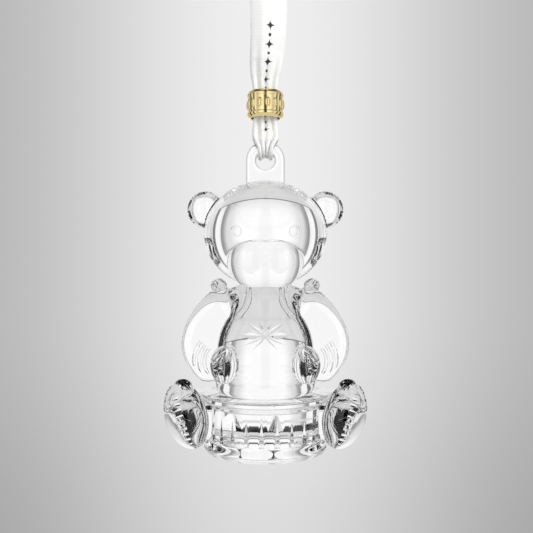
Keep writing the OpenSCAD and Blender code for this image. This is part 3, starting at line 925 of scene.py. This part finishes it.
def on_belly(around, height, deep):
    """A point of the belly's front, by its distance round, its height above the star and its depth."""
    z = STAR_Z + height
    reach = float(torso_radius(z))
    turn = around / reach
    return ((reach - deep) * math.sin(turn), -(reach - deep) * math.cos(turn), z)


def star_tool(petals):
    """Each petal has four outline points, a shoulder, the tip, a shoulder and a notch, and a keel."""
    points = [on_belly(0, 0, STAR_DEEP), on_belly(0, 0, STAR_PROUD)]
    low, high, outline, faces = {}, {}, [], []
    for number, (angle, long, half, deep) in enumerate(petals):
        following = petals[(number + 1) % len(petals)][0] + (360 if number == len(petals) - 1 else 0)
        a, gap = math.radians(angle), math.radians((angle + following) / 2)
        way, side = np.array([math.cos(a), math.sin(a)]), np.array([-math.sin(a), math.cos(a)])
        wide = way * long * 0.42
        notch = np.array([math.cos(gap), math.sin(gap)]) * NOTCH_R
        for k, place in enumerate((wide - side * half, way * long, wide + side * half, notch)):
            low[number, k], high[number, k] = len(points), len(points) + 1
            points += [on_belly(*place, 0.0), on_belly(*place, STAR_PROUD)]
            outline.append((number, k))
        low[number, "keel"] = len(points)
        points.append(on_belly(*wide, deep))
    for here, after in zip(outline, outline[1:] + outline[:1]):
        faces += [(low[here], high[here], high[after], low[after]), (1, high[after], high[here])]
    for number in range(len(petals)):
        before, keel = (number - 1) % len(petals), low[number, "keel"]
        faces += [(low[number, k], low[number, k + 1], keel) for k in range(3)]
        faces += [(low[before, 3], low[number, 0], keel), (low[number, 3], 0, keel),
                  (0, low[before, 3], keel)]
    tool = new_mesh_object("star_tool", in_frame(points), faces, CRYSTAL_CUT, smooth=False)
    merge_doubles(tool)
    return tool


star = star_tool(PETALS)
before = count_triangles(body)
cut_or_join(body, [star], "DIFFERENCE")
print("star:", count_triangles(body) - before, "triangles more")

# %% [markdown]
# ### Rings of the face and folds of the cuffs
#
# The eyes and the nose are fine engraved rings, and the wrists have curved folds. Both are bent round
# bars: a small circle carried along an arc, closed at its ends. A full ring is the same bar with its
# ends joined.

# %% Rings and folds
def bar_along(name, line, bar_radius, whole=False):
    """A round bar along a smooth line of points, with flat closed ends, or joined up if it is whole."""
    sides = 10
    line = np.array(line, float)
    ahead = np.roll(line, -1, 0) - np.roll(line, 1, 0)
    if not whole:
        ahead[0], ahead[-1] = line[1] - line[0], line[-1] - line[-2]
    ahead /= np.linalg.norm(ahead, axis=1, keepdims=True)
    out = line - line.mean(0)
    out -= ahead * np.sum(out * ahead, 1, keepdims=True)
    out /= np.linalg.norm(out, axis=1, keepdims=True)
    beside = np.cross(ahead, out)
    turn = np.arange(sides) * 2 * math.pi / sides
    points = (line[:, None] + bar_radius * (out[:, None] * np.cos(turn)[:, None]
                                            + beside[:, None] * np.sin(turn)[:, None])).reshape(-1, 3)
    faces, rows = [], len(line)
    for i in range(rows if whole else rows - 1):
        j = (i + 1) % rows
        for k in range(sides):
            m = (k + 1) % sides
            faces.append((i * sides + k, i * sides + m, j * sides + m, j * sides + k))
    if not whole:
        faces.append(tuple(range(sides)))
        faces.append(tuple((rows - 1) * sides + k for k in reversed(range(sides))))
    bar = new_mesh_object(name, in_frame(points), faces, CRYSTAL_CUT)
    merge_doubles(bar)
    return bar


def arc_line(middle, axis, radius, start=0.0, end=360.0):
    """Points of an arc about an axis, counted from the piece's left towards its top."""
    axis = Vector(axis).normalized()
    u = (Vector((1, 0, 0)) - axis * axis.x).normalized()
    v = axis.cross(u)
    steps = max(8, int((end - start) / 7.5))
    angles = np.radians(np.linspace(start, end, steps + 1))
    if end - start >= 360:
        angles = angles[:-1]
    return [tuple(Vector(middle) + (u * math.cos(a) + v * math.sin(a)) * radius) for a in angles]


def on_head(x, z):
    """The point of the head's front that is seen at that width and height."""
    q = 1 - (x / head_box.half[0]) ** 2 - ((z - head_box.mid[2]) / head_box.half[2]) ** 2
    return (x, head_box.mid[1] - head_box.half[1] * math.sqrt(max(q, 0.0)), z)


SIDES = ((1, "left"), (-1, "right"))
FACE_EYE, FACE_TURN, FACE_EYE_R = np.array([7.4, -13.1, 58.1]), math.radians(26), 1.2
EYE_LINE, FOLD_LINE, NOSE_LINE, LIP_LINE = 0.32, 0.5, 0.28, 0.33
FOLD_REACH, FOLD_SWEEP = (5.4, 6.8, 8.2), 80
NOSE_AT, NOSE_R = (0, SNOUT_AT[1] - 6.1, SNOUT_AT[2] - 4.2), 0.9
# half width and drop of the line over the muzzle, and the shallow dip in its middle
LIP_WIDE, LIP_RISE, LIP_DIP = 9.5, 5.7, 0.5
cutters = []
for side, name in SIDES:
    here = FACE_EYE * np.array([side, 1, 1])
    facing = (side * math.sin(FACE_TURN), -math.cos(FACE_TURN), 0)
    cutters.append(bar_along("eye_ring_" + name, arc_line(here, facing, FACE_EYE_R), EYE_LINE, whole=True))
    spot = (side * PAW_AT[0], ARM_TOP[1] - ARM_FLAT - 0.1, PAW_AT[2] + 0.4)
    start = 320 if side > 0 else 140
    for fold, reach in enumerate(FOLD_REACH):
        line = arc_line(spot, (0, -1, 0), reach, start, start + FOLD_SWEEP)
        cutters.append(bar_along("cuff_fold_%d_%s" % (fold, name), line, FOLD_LINE))
cutters.append(bar_along("nose_ring", arc_line(NOSE_AT, (0, -1, -0.6), NOSE_R), NOSE_LINE, whole=True))
lip = [on_head(LIP_WIDE * math.cos(a),
               SNOUT_AT[2] + (LIP_RISE - LIP_DIP * math.exp(-(math.cos(a) * 5) ** 2)) * math.sin(a))
       for a in np.radians(np.linspace(-12, 192, 49))]
cutters.append(bar_along("muzzle_line", lip, LIP_LINE))
before = count_triangles(body)
cut_or_join(body, cutters, "DIFFERENCE")
print("rings and folds:", count_triangles(body) - before, "triangles more")

# %% [markdown]
# ### Flutes, ribs and fingers
#
# The rims of the ears are fluted, the soles have short ribs straight across them, and each paw has
# fingers. The arc tree lays the flutes round an ear, and on a sole it lays level bars on an arc as
# round as the sole is. The tree for bars makes the gaps between the fingers.

# %% Flutes, ribs and fingers
def aimed(origin, z_axis, x_axis):
    """A place for tools: where their arc's middle is, and where its upright and its 0 degrees point."""
    z = Vector(z_axis).normalized()
    x = (Vector(x_axis) - z * Vector(x_axis).dot(z)).normalized()
    y = z.cross(x)
    turn = Matrix((x, y, z)).transposed().to_4x4()
    return Matrix.Translation(Vector(in_frame(tuple(origin)))) @ turn


SOLE_ROUND = FOOT_HALF[2] ** 2 / FOOT_HALF[1]
EAR_TURN, LEAN_FOOT = math.radians(30), math.radians(FOOT_TILT)
FLUTE_R, RIB_R, GAP_R, GAP_PITCH = 0.5, 0.55, 0.36, 1.5
tools = []
for side, name in SIDES:
    ear_out = (side * math.cos(EAR_TURN), 0, math.sin(EAR_TURN))
    flute_place = aimed(EAR_AT * np.array([side, 1, 1]), (0, -1, 0), ear_out)
    tools.append(grow("ear_flutes_" + name, ARC_TOOLS, flute_place, Count=13, Radius=(EAR_R + 0.12) * MM,
                      Start=math.radians(-78), Sweep=math.radians(156),
                      Tool_radius=FLUTE_R * MM, Tip=FLUTE_R * MM, Tool_length=7.0 * MM, Material=CRYSTAL_CUT))
    foot_x = (side * math.cos(LEAN_FOOT), 0, -math.sin(LEAN_FOOT))
    sole_middle = (side * FOOT_AT[0], FOOT_AT[1] - FOOT_HALF[1] + SOLE_ROUND, FOOT_AT[2])
    tools.append(grow("sole_ribs_" + name, ARC_TOOLS, aimed(sole_middle, foot_x, (0, -1, 0)), Count=11,
                      Radius=(SOLE_ROUND + 0.1) * MM, Start=math.radians(-31), Sweep=math.radians(57),
                      Tool_radius=RIB_R * MM, Tip=RIB_R * MM, Tool_length=7.6 * MM, Material=CRYSTAL_CUT))
    paw_front = placed(side * PAW_AT[0], PAW_AT[1] - PAW_HALF[1], PAW_AT[2] - 0.6)
    tools.append(grow("finger_gaps_" + name, ROW_BARS, paw_front, Count=3, From=(-GAP_PITCH * MM, 0, 0),
                      To=(GAP_PITCH * MM, 0, 0), Bar_radius=GAP_R * MM, Bar_length=5.0 * MM,
                      Turn=(0, 0, 0), Material=CRYSTAL_CUT))
before = count_triangles(body)
cut_or_join(body, tools, "DIFFERENCE")
print("flutes, ribs and fingers:", count_triangles(body) - before, "triangles more")

# %% Join and finish the glass
cut_or_join(body, [drum, eye], "UNION")
print("bear:", count_triangles(body), "triangles")
body.data.set_sharp_from_angle(angle=math.radians(32))
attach(body, "bear")
glass_nodes = ["hanging_eye", "head", "muzzle", "torso", "drum_rim", "drum_wall", "drum_flange"]
for kind in ("ear", "arm", "paw", "leg", "foot"):
    glass_nodes += [kind + "_left", kind + "_right"]
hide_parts(*glass_nodes)

# %% [markdown]
# ## Satin
#
# The ribbon is woven satin: a bright smooth face with faint ribs straight across it, a firmer edge on
# each side, and a small printed row of stars and dots. The ribs, the edges and the print follow the
# cloth as it bends, so they are drawn in the ribbon's own UV map, where one unit is ten millimetres
# of cloth. The print is only on the outer face, which is the stretch of the map from 0 to 1 across.

# %% Satin materials
RIB_PITCH, STAR_PITCH, STAR_ACROSS = 0.075, 0.46, 0.53
PRINT_INK = (0.025, 0.025, 0.028, 1.0)


def satin_material(print_from, print_to):
    material, tree, output = new_material("white_satin")
    uv = add_node(tree, "ShaderNodeUVMap", uv_map="cloth").outputs[0]
    split = add_node(tree, "ShaderNodeSeparateXYZ", {0: uv}).outputs
    across, along = split[0], split[1]

    # two arms of a star, thin at the tips, and a dot half way to the next star
    cell = sum_up(tree, "SUBTRACT", sum_up(tree, "FRACT", sum_up(tree, "DIVIDE", along, STAR_PITCH)), 0.5)
    y = sum_up(tree, "ABSOLUTE", sum_up(tree, "MULTIPLY", cell, STAR_PITCH))
    x = sum_up(tree, "ABSOLUTE", sum_up(tree, "SUBTRACT", across, STAR_ACROSS))
    spread = sum_up(tree, "ADD", sum_up(tree, "SQRT", x), sum_up(tree, "SQRT", y))
    star = ramp_between(tree, spread, 0.385, 0.41, 1.0, 0.0)
    y_dot = sum_up(tree, "SUBTRACT", STAR_PITCH / 2, y)
    reach = sum_up(tree, "SQRT", sum_up(tree, "ADD", sum_up(tree, "MULTIPLY", x, x),
                                        sum_up(tree, "MULTIPLY", y_dot, y_dot)))
    dot = ramp_between(tree, reach, 0.036, 0.044, 1.0, 0.0)
    marks = sum_up(tree, "MAXIMUM", star, dot)
    inside = sum_up(tree, "MULTIPLY", sum_up(tree, "GREATER_THAN", along, print_from),
                    sum_up(tree, "LESS_THAN", along, print_to))
    marks = sum_up(tree, "MULTIPLY", marks, inside)

    ribs = sum_up(tree, "SINE", sum_up(tree, "MULTIPLY", along, 2 * math.pi / RIB_PITCH))
    off_middle = sum_up(tree, "ABSOLUTE", sum_up(tree, "SUBTRACT", across, 0.5))
    selvedge = ramp_between(tree, off_middle, 0.44, 0.46)
    # white cloth with painted light and shade on the ribs: a little lighter on their crests and darker in
    # their grooves
    cloth_tone_and_rib_shade = sum_up(tree, "MULTIPLY_ADD", ribs, 0.012, 0.865)
    cloth_tone_and_rib_shade = sum_up(tree, "MULTIPLY_ADD", selvedge, -0.035, cloth_tone_and_rib_shade)
    blue = sum_up(tree, "MULTIPLY", cloth_tone_and_rib_shade, 0.988)
    white = add_node(tree, "ShaderNodeCombineColor", {0: cloth_tone_and_rib_shade, 1: cloth_tone_and_rib_shade, 2: blue})
    colour = add_node(tree, "ShaderNodeMix", {"Factor": marks, "A": white.outputs[0], "B": PRINT_INK},
                      data_type="RGBA")

    slub = use_group(tree, WAVES, Vector=uv, Scale=9.0, Stretch=(1.0, 14.0, 1.0))
    height = sum_up(tree, "MULTIPLY_ADD", ribs, 0.5, slub)
    height = sum_up(tree, "MULTIPLY_ADD", selvedge, 0.8, height)
    gloss = use_group(tree, HANDLING, Vector=uv, Scale=4.0, Low=0.38, High=0.5)
    add_surface(tree, output, height, 0.00002, {
        "Base Color": colour.outputs["Result"], "Roughness": gloss, "Sheen Weight": 0.3,
        "Sheen Roughness": 0.4, "Subsurface Weight": 0.15, "Subsurface Radius": (0.0008, 0.0008, 0.0008)})
    return material



# %% [markdown]
# ## The ribbon
#
# The ribbon is one sheet, cut ten millimetres wide. Its two ends overlap behind the hook. From there
# it runs down the back, through the bead, under the arch of the glass eye, up the front and over the
# hook again. A cloth simulation would have to find the pleats inside the bead by itself, in a space of
# three millimetres. It is surer to draw them. At each place along the route the sheet has a cross
# section, whose direction is a formula of the distance across the cloth. A crest gives the soft fold
# on the left, a fine wave gives the pleats, and a steady turn wraps it under the arch. As the section
# only ever turns and never stretches, the cloth keeps its width.

# %% Route of the ribbon
bead_box = box_mm("bead")
CLOTH_W, CLOTH_T = 10.0, 0.2
HOOK_R = 3.0
BEND_Z = hook_z - HOOK_R
SWING_Z = EYE_Z + EYE_HOLE + (EYE_R - EYE_HOLE) / 2
ARCH_R = 1.95


def arc_points(middle_y, middle_z, radius, start, end, steps=14):
    angles = np.radians(np.linspace(start, end, steps))
    return [(middle_y + radius * math.cos(a), middle_z + radius * math.sin(a)) for a in angles]


def ribbon_route():
    """Depth and height of the sheet's inner face, from the end at the back round to the other end."""
    top = bead_box.high[2] + 3.5
    strand = [(HOOK_R, BEND_Z - 1.5), (HOOK_R, BEND_Z - 7.0), (2.3, BEND_Z - 14.0), (1.1, top + 6.0),
              (0.25, top), (0.25, bead_box.mid[2]), (0.25, bead_box.low[2] - 3.3), (1.6, SWING_Z + 1.7),
              (ARCH_R, SWING_Z + 0.6)]
    route = strand + arc_points(0, SWING_Z, ARCH_R, 0, -180)
    route += [(-y, z) for y, z in strand[::-1][:-1]]
    route += arc_points(0, BEND_Z, HOOK_R, 180, 0)
    route += [(HOOK_R + 0.35, BEND_Z - 2.0), (HOOK_R + 0.4, BEND_Z - 4.0), (HOOK_R + 0.4, BEND_Z - 7.5)]
    return np.array(route)


def evenly(route, step):
    """The same route with a point every step, softened a little where straight stretches meet."""
    length = np.concatenate([[0], np.cumsum(np.linalg.norm(np.diff(route, axis=0), axis=1))])
    places = np.linspace(0, length[-1], int(length[-1] / step) + 1)
    even = np.stack([np.interp(places, length, route[:, i]) for i in range(2)], 1)
    for _ in range(6):
        even[1:-1] = 0.5 * even[1:-1] + 0.25 * (even[:-2] + even[2:])
    return even


route = evenly(ribbon_route(), 0.3)
along = np.concatenate([[0], np.cumsum(np.linalg.norm(np.diff(route, axis=0), axis=1))])
print("ribbon length:", round(along[-1], 1), "mm in", len(route), "rows")

# %% [markdown]
# The cross section changes with height only: pleated and wrapped round in the eye, pleated flat in the
# bead, and open with one soft crest above it.

# %% Ribbon sheet
PLEAT = CLOTH_W / 3.5
CREST_AT = -1.9
LEAN = 0.9  # the open ribbon hangs a little to one side
TRAVEL = 3.3  # the bead slides this far, so the cloth stays narrow enough for its bore
# height, tilt of the two flanks beside the crest, turn of the wrap, strength of the pleats
SECTIONS = np.array([
    (SWING_Z - 2.0, 0.0, 1.0, 1.7), (SWING_Z - 0.2, 0.1, 0.85, 1.62), (SWING_Z + 2.2, 0.5, 0.2, 1.1),
    (bead_box.low[2] - TRAVEL, 0.28, 0.0, 1.18), (bead_box.low[2] + 0.3, 0.3, 0.0, 1.3),
    (bead_box.high[2] - 0.3, 0.3, 0.0, 1.25), (bead_box.high[2] + TRAVEL, 0.25, 0.0, 1.12),
    (bead_box.high[2] + 9.0, 0.5, 0.0, 0.35), (bead_box.high[2] + 15.0, 0.42, 0.0, 0.1),
    (BEND_Z, 0.3, 0.0, 0.0), (hook_z, 0.05, 0.0, 0.0)])


def ribbon_sheet():
    across = np.linspace(-CLOTH_W / 2, CLOTH_W / 2, 57)
    crest, wrap, pleats = (np.interp(route[:, 1], SECTIONS[:, 0], SECTIONS[:, i])[:, None] for i in (1, 2, 3))
    flat = np.clip((route[:, 1] - BEND_Z + 14.0) / 5.0, 0, 1) * (route[:, 0] > 0)
    crest = crest * (1 - flat[:, None])  # the sewn ends lie flat on each other behind the hook
    turn = (-crest * np.tanh((across - CREST_AT) / 1.2) + wrap * across / (CLOTH_W / 2)
            + pleats * np.sin(2 * math.pi * across / PLEAT))
    step = across[1] - across[0]

    def summed(v):
        middle = (v[:, 1:] + v[:, :-1]) / 2 * step
        return np.concatenate([np.zeros((len(v), 1)), np.cumsum(middle, 1)], 1)

    x, out = summed(np.cos(turn)), summed(np.sin(turn))
    x -= (x.min(1, keepdims=True) + x.max(1, keepdims=True)) / 2
    x += np.interp(route[:, 1], [bead_box.high[2] + 4.0, bead_box.high[2] + 16.0], [0.0, LEAN])[:, None]
    out -= out.min(1, keepdims=True)
    heading = np.gradient(route, axis=0)
    heading /= np.linalg.norm(heading, axis=1, keepdims=True)
    outward = np.stack([-heading[:, 1], heading[:, 0]], 1)
    y = route[:, :1] + outward[:, :1] * out
    z = route[:, 1:] + outward[:, 1:] * out
    inner = np.stack([x, y, z], -1)
    normal = np.cross(np.gradient(inner, axis=1), np.gradient(inner, axis=0))
    normal /= np.linalg.norm(normal, axis=2, keepdims=True)
    toward = np.sum(normal[:, :, 1:] * outward[:, None, :], 2).mean()
    outer = inner + normal * CLOTH_T * np.sign(toward)
    return inner, outer, across, x.max(1) - x.min(1)


inner, outer, across, chord = ribbon_sheet()
for label, height in (("eye", SWING_Z - 1.9), ("bead", bead_box.mid[2]), ("open", BEND_Z - 8)):
    print("ribbon width at the", label, round(float(chord[np.argmin(np.abs(route[:, 1] - height))]), 2), "mm")


def sheet_object(name, inner, outer, across, material):
    """A thin closed sheet. The outer face has its map from 0 to 1 across, and the inner from 2 to 3."""
    rows, columns = inner.shape[:2]
    number = np.arange(rows * columns).reshape(rows, columns)
    low, high = number, number + rows * columns

    def quads(a):
        return np.stack([a[:-1, :-1], a[:-1, 1:], a[1:, 1:], a[1:, :-1]], -1).reshape(-1, 4)

    def wall(a, b):
        return np.stack([a[:-1], a[1:], b[1:], b[:-1]], -1)

    faces = np.concatenate([quads(low)[:, ::-1], quads(high), wall(high[:, 0], low[:, 0]),
                            wall(low[:, -1], high[:, -1]), wall(low[0], high[0]), wall(high[-1], low[-1])])
    points = np.concatenate([outer.reshape(-1, 3), inner.reshape(-1, 3)])
    piece = new_mesh_object(name, in_frame(points), faces, material)
    place = np.stack(np.meshgrid(across / CLOTH_W + 0.5, along / CLOTH_W), -1).reshape(-1, 2)
    place = np.concatenate([place, place + np.array([2.0, 0.0])])
    cloth_map = piece.data.uv_layers.new(name="cloth")
    corner = np.empty(len(piece.data.loops), np.int32)
    piece.data.loops.foreach_get("vertex_index", corner)
    cloth_map.data.foreach_set("uv", place[corner].astype(np.float32).ravel())
    merge_doubles(piece, 0)
    return piece


front = route[:, 0] < 0
print_from = along[front & (route[:, 1] > bead_box.low[2] - 4.0)][0] / CLOTH_W
print_to = along[front & (route[:, 1] > bead_box.high[2] + 18.0)][0] / CLOTH_W
SATIN = satin_material(float(print_from), float(print_to))
ribbon = sheet_object("satin_ribbon", inner, outer, across, SATIN)
ribbon.data.set_sharp_from_angle(angle=math.radians(60))
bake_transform(ribbon)
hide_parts("ribbon_loop", "ribbon_seam", "ribbon_tail")
print("ribbon:", count_triangles(ribbon), "triangles")

# %% [markdown]
# The two ends lie on each other behind the hook and are held by two rows of stitches. A stitch is a
# short rounded bar of thread lying along the row, so the tree for bars makes them.

# %% Stitches
STITCHES, ROW_HALF, THREAD_R, STITCH_L = 9, 3.9, 0.13, 0.62
SEAM_Y = HOOK_R + 0.4 + CLOTH_T


def thread_material():
    material, tree, output = new_material("stitching_thread")
    place = object_place(tree)
    gloss = use_group(tree, HANDLING, Vector=place, Scale=900.0, Low=0.5, High=0.7)
    twist = use_group(tree, WAVES, Vector=place, Scale=4000.0, Stretch=(1.0, 1.0, 1.0))
    add_surface(tree, output, twist, 0.00003, {"Base Color": (0.82, 0.82, 0.81, 1.0), "Roughness": gloss})
    return material


THREAD = thread_material()
for row, drop in (("upper", 3.2), ("lower", 6.2)):
    stitches = grow("stitches_" + row, ROW_BARS, placed(0, SEAM_Y, BEND_Z - drop), Count=STITCHES,
                    From=(-ROW_HALF * MM, 0, 0), To=(ROW_HALF * MM, 0, 0), Bar_radius=THREAD_R * MM,
                    Bar_length=STITCH_L * MM, Turn=(0, math.radians(90), 0), Material=THREAD)
    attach(stitches, "ribbon")
print(2 * STITCHES, "stitches")


# %% [markdown]
# ## The bead
#
# The bead is a short turned tube of polished gold-coloured metal with soft rims and a row of raised
# ovals round its middle. The tube is a lathe shape. The ovals come from the geometry tree for ovals on
# an arc and are joined to the tube, so that each one grows out of the metal as a cast one does.

# %% Bead
def gold_material():
    material, tree, output = new_material("polished_gold")
    place = object_place(tree)
    gloss = use_group(tree, HANDLING, Vector=place, Scale=260.0, Low=0.1, High=0.2)
    height = use_group(tree, WAVES, Vector=place, Scale=420.0, Stretch=(1.0, 1.0, 0.4))
    patina = add_node(tree, "ShaderNodeTexNoise", {"Vector": place, "Scale": 180.0, "Detail": 2.0})
    colour = add_node(tree, "ShaderNodeMix", {
        "Factor": patina.outputs[0], "A": (0.98, 0.76, 0.34, 1.0), "B": (1.0, 0.85, 0.48, 1.0)},
        data_type="RGBA")
    add_surface(tree, output, height, 0.00001, {
        "Base Color": colour.outputs["Result"], "Roughness": gloss, "Metallic": 1.0})
    return material


GOLD = gold_material()
BEAD_R, BEAD_HALF = bead_box.half[0], bead_box.half[2]
BORE_R = BEAD_R - 1.05
BAND_DEEP = 0.16
# the lower half, from the middle of the bore out to the edge of the band: the upper one mirrors it
lower_half = [(BORE_R, 0.0), (BORE_R, -BEAD_HALF), (BEAD_R - 0.5, -BEAD_HALF), (BEAD_R, -BEAD_HALF + 0.9),
              (BEAD_R, -BEAD_HALF + 1.35), (BEAD_R - BAND_DEEP, -BEAD_HALF + 1.6)]
bead_corners = lower_half + [(r, -z) for r, z in lower_half[::-1]]
bead_outline = np.array(rounded(bead_corners, 0.5, 5)[:-1])
bead_points, bead_faces = lathe(bead_outline, 128)
bead_points = in_frame(bead_points + np.array([0, 0, bead_box.mid[2]]))
bead = new_mesh_object("gold_bead", bead_points, bead_faces, GOLD)
merge_doubles(bead)
OVALS, OVAL_HALF = 14, (0.46 * MM, 0.72 * MM, 1.35 * MM)
ovals = grow("bead_ovals", ARC_OVALS, placed(0, 0, bead_box.mid[2]), Count=OVALS,
             Radius=(BEAD_R - BAND_DEEP - 0.1) * MM, Start=math.radians(-82.0),
             Sweep=math.radians(360 * (OVALS - 1) / OVALS), Half_size=OVAL_HALF, Material=GOLD)
cut_or_join(bead, [ovals], "UNION")
bead.data.set_sharp_from_angle(angle=math.radians(35))
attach(bead, "bead")
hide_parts("bead")
print("bead:", count_triangles(bead), "triangles")
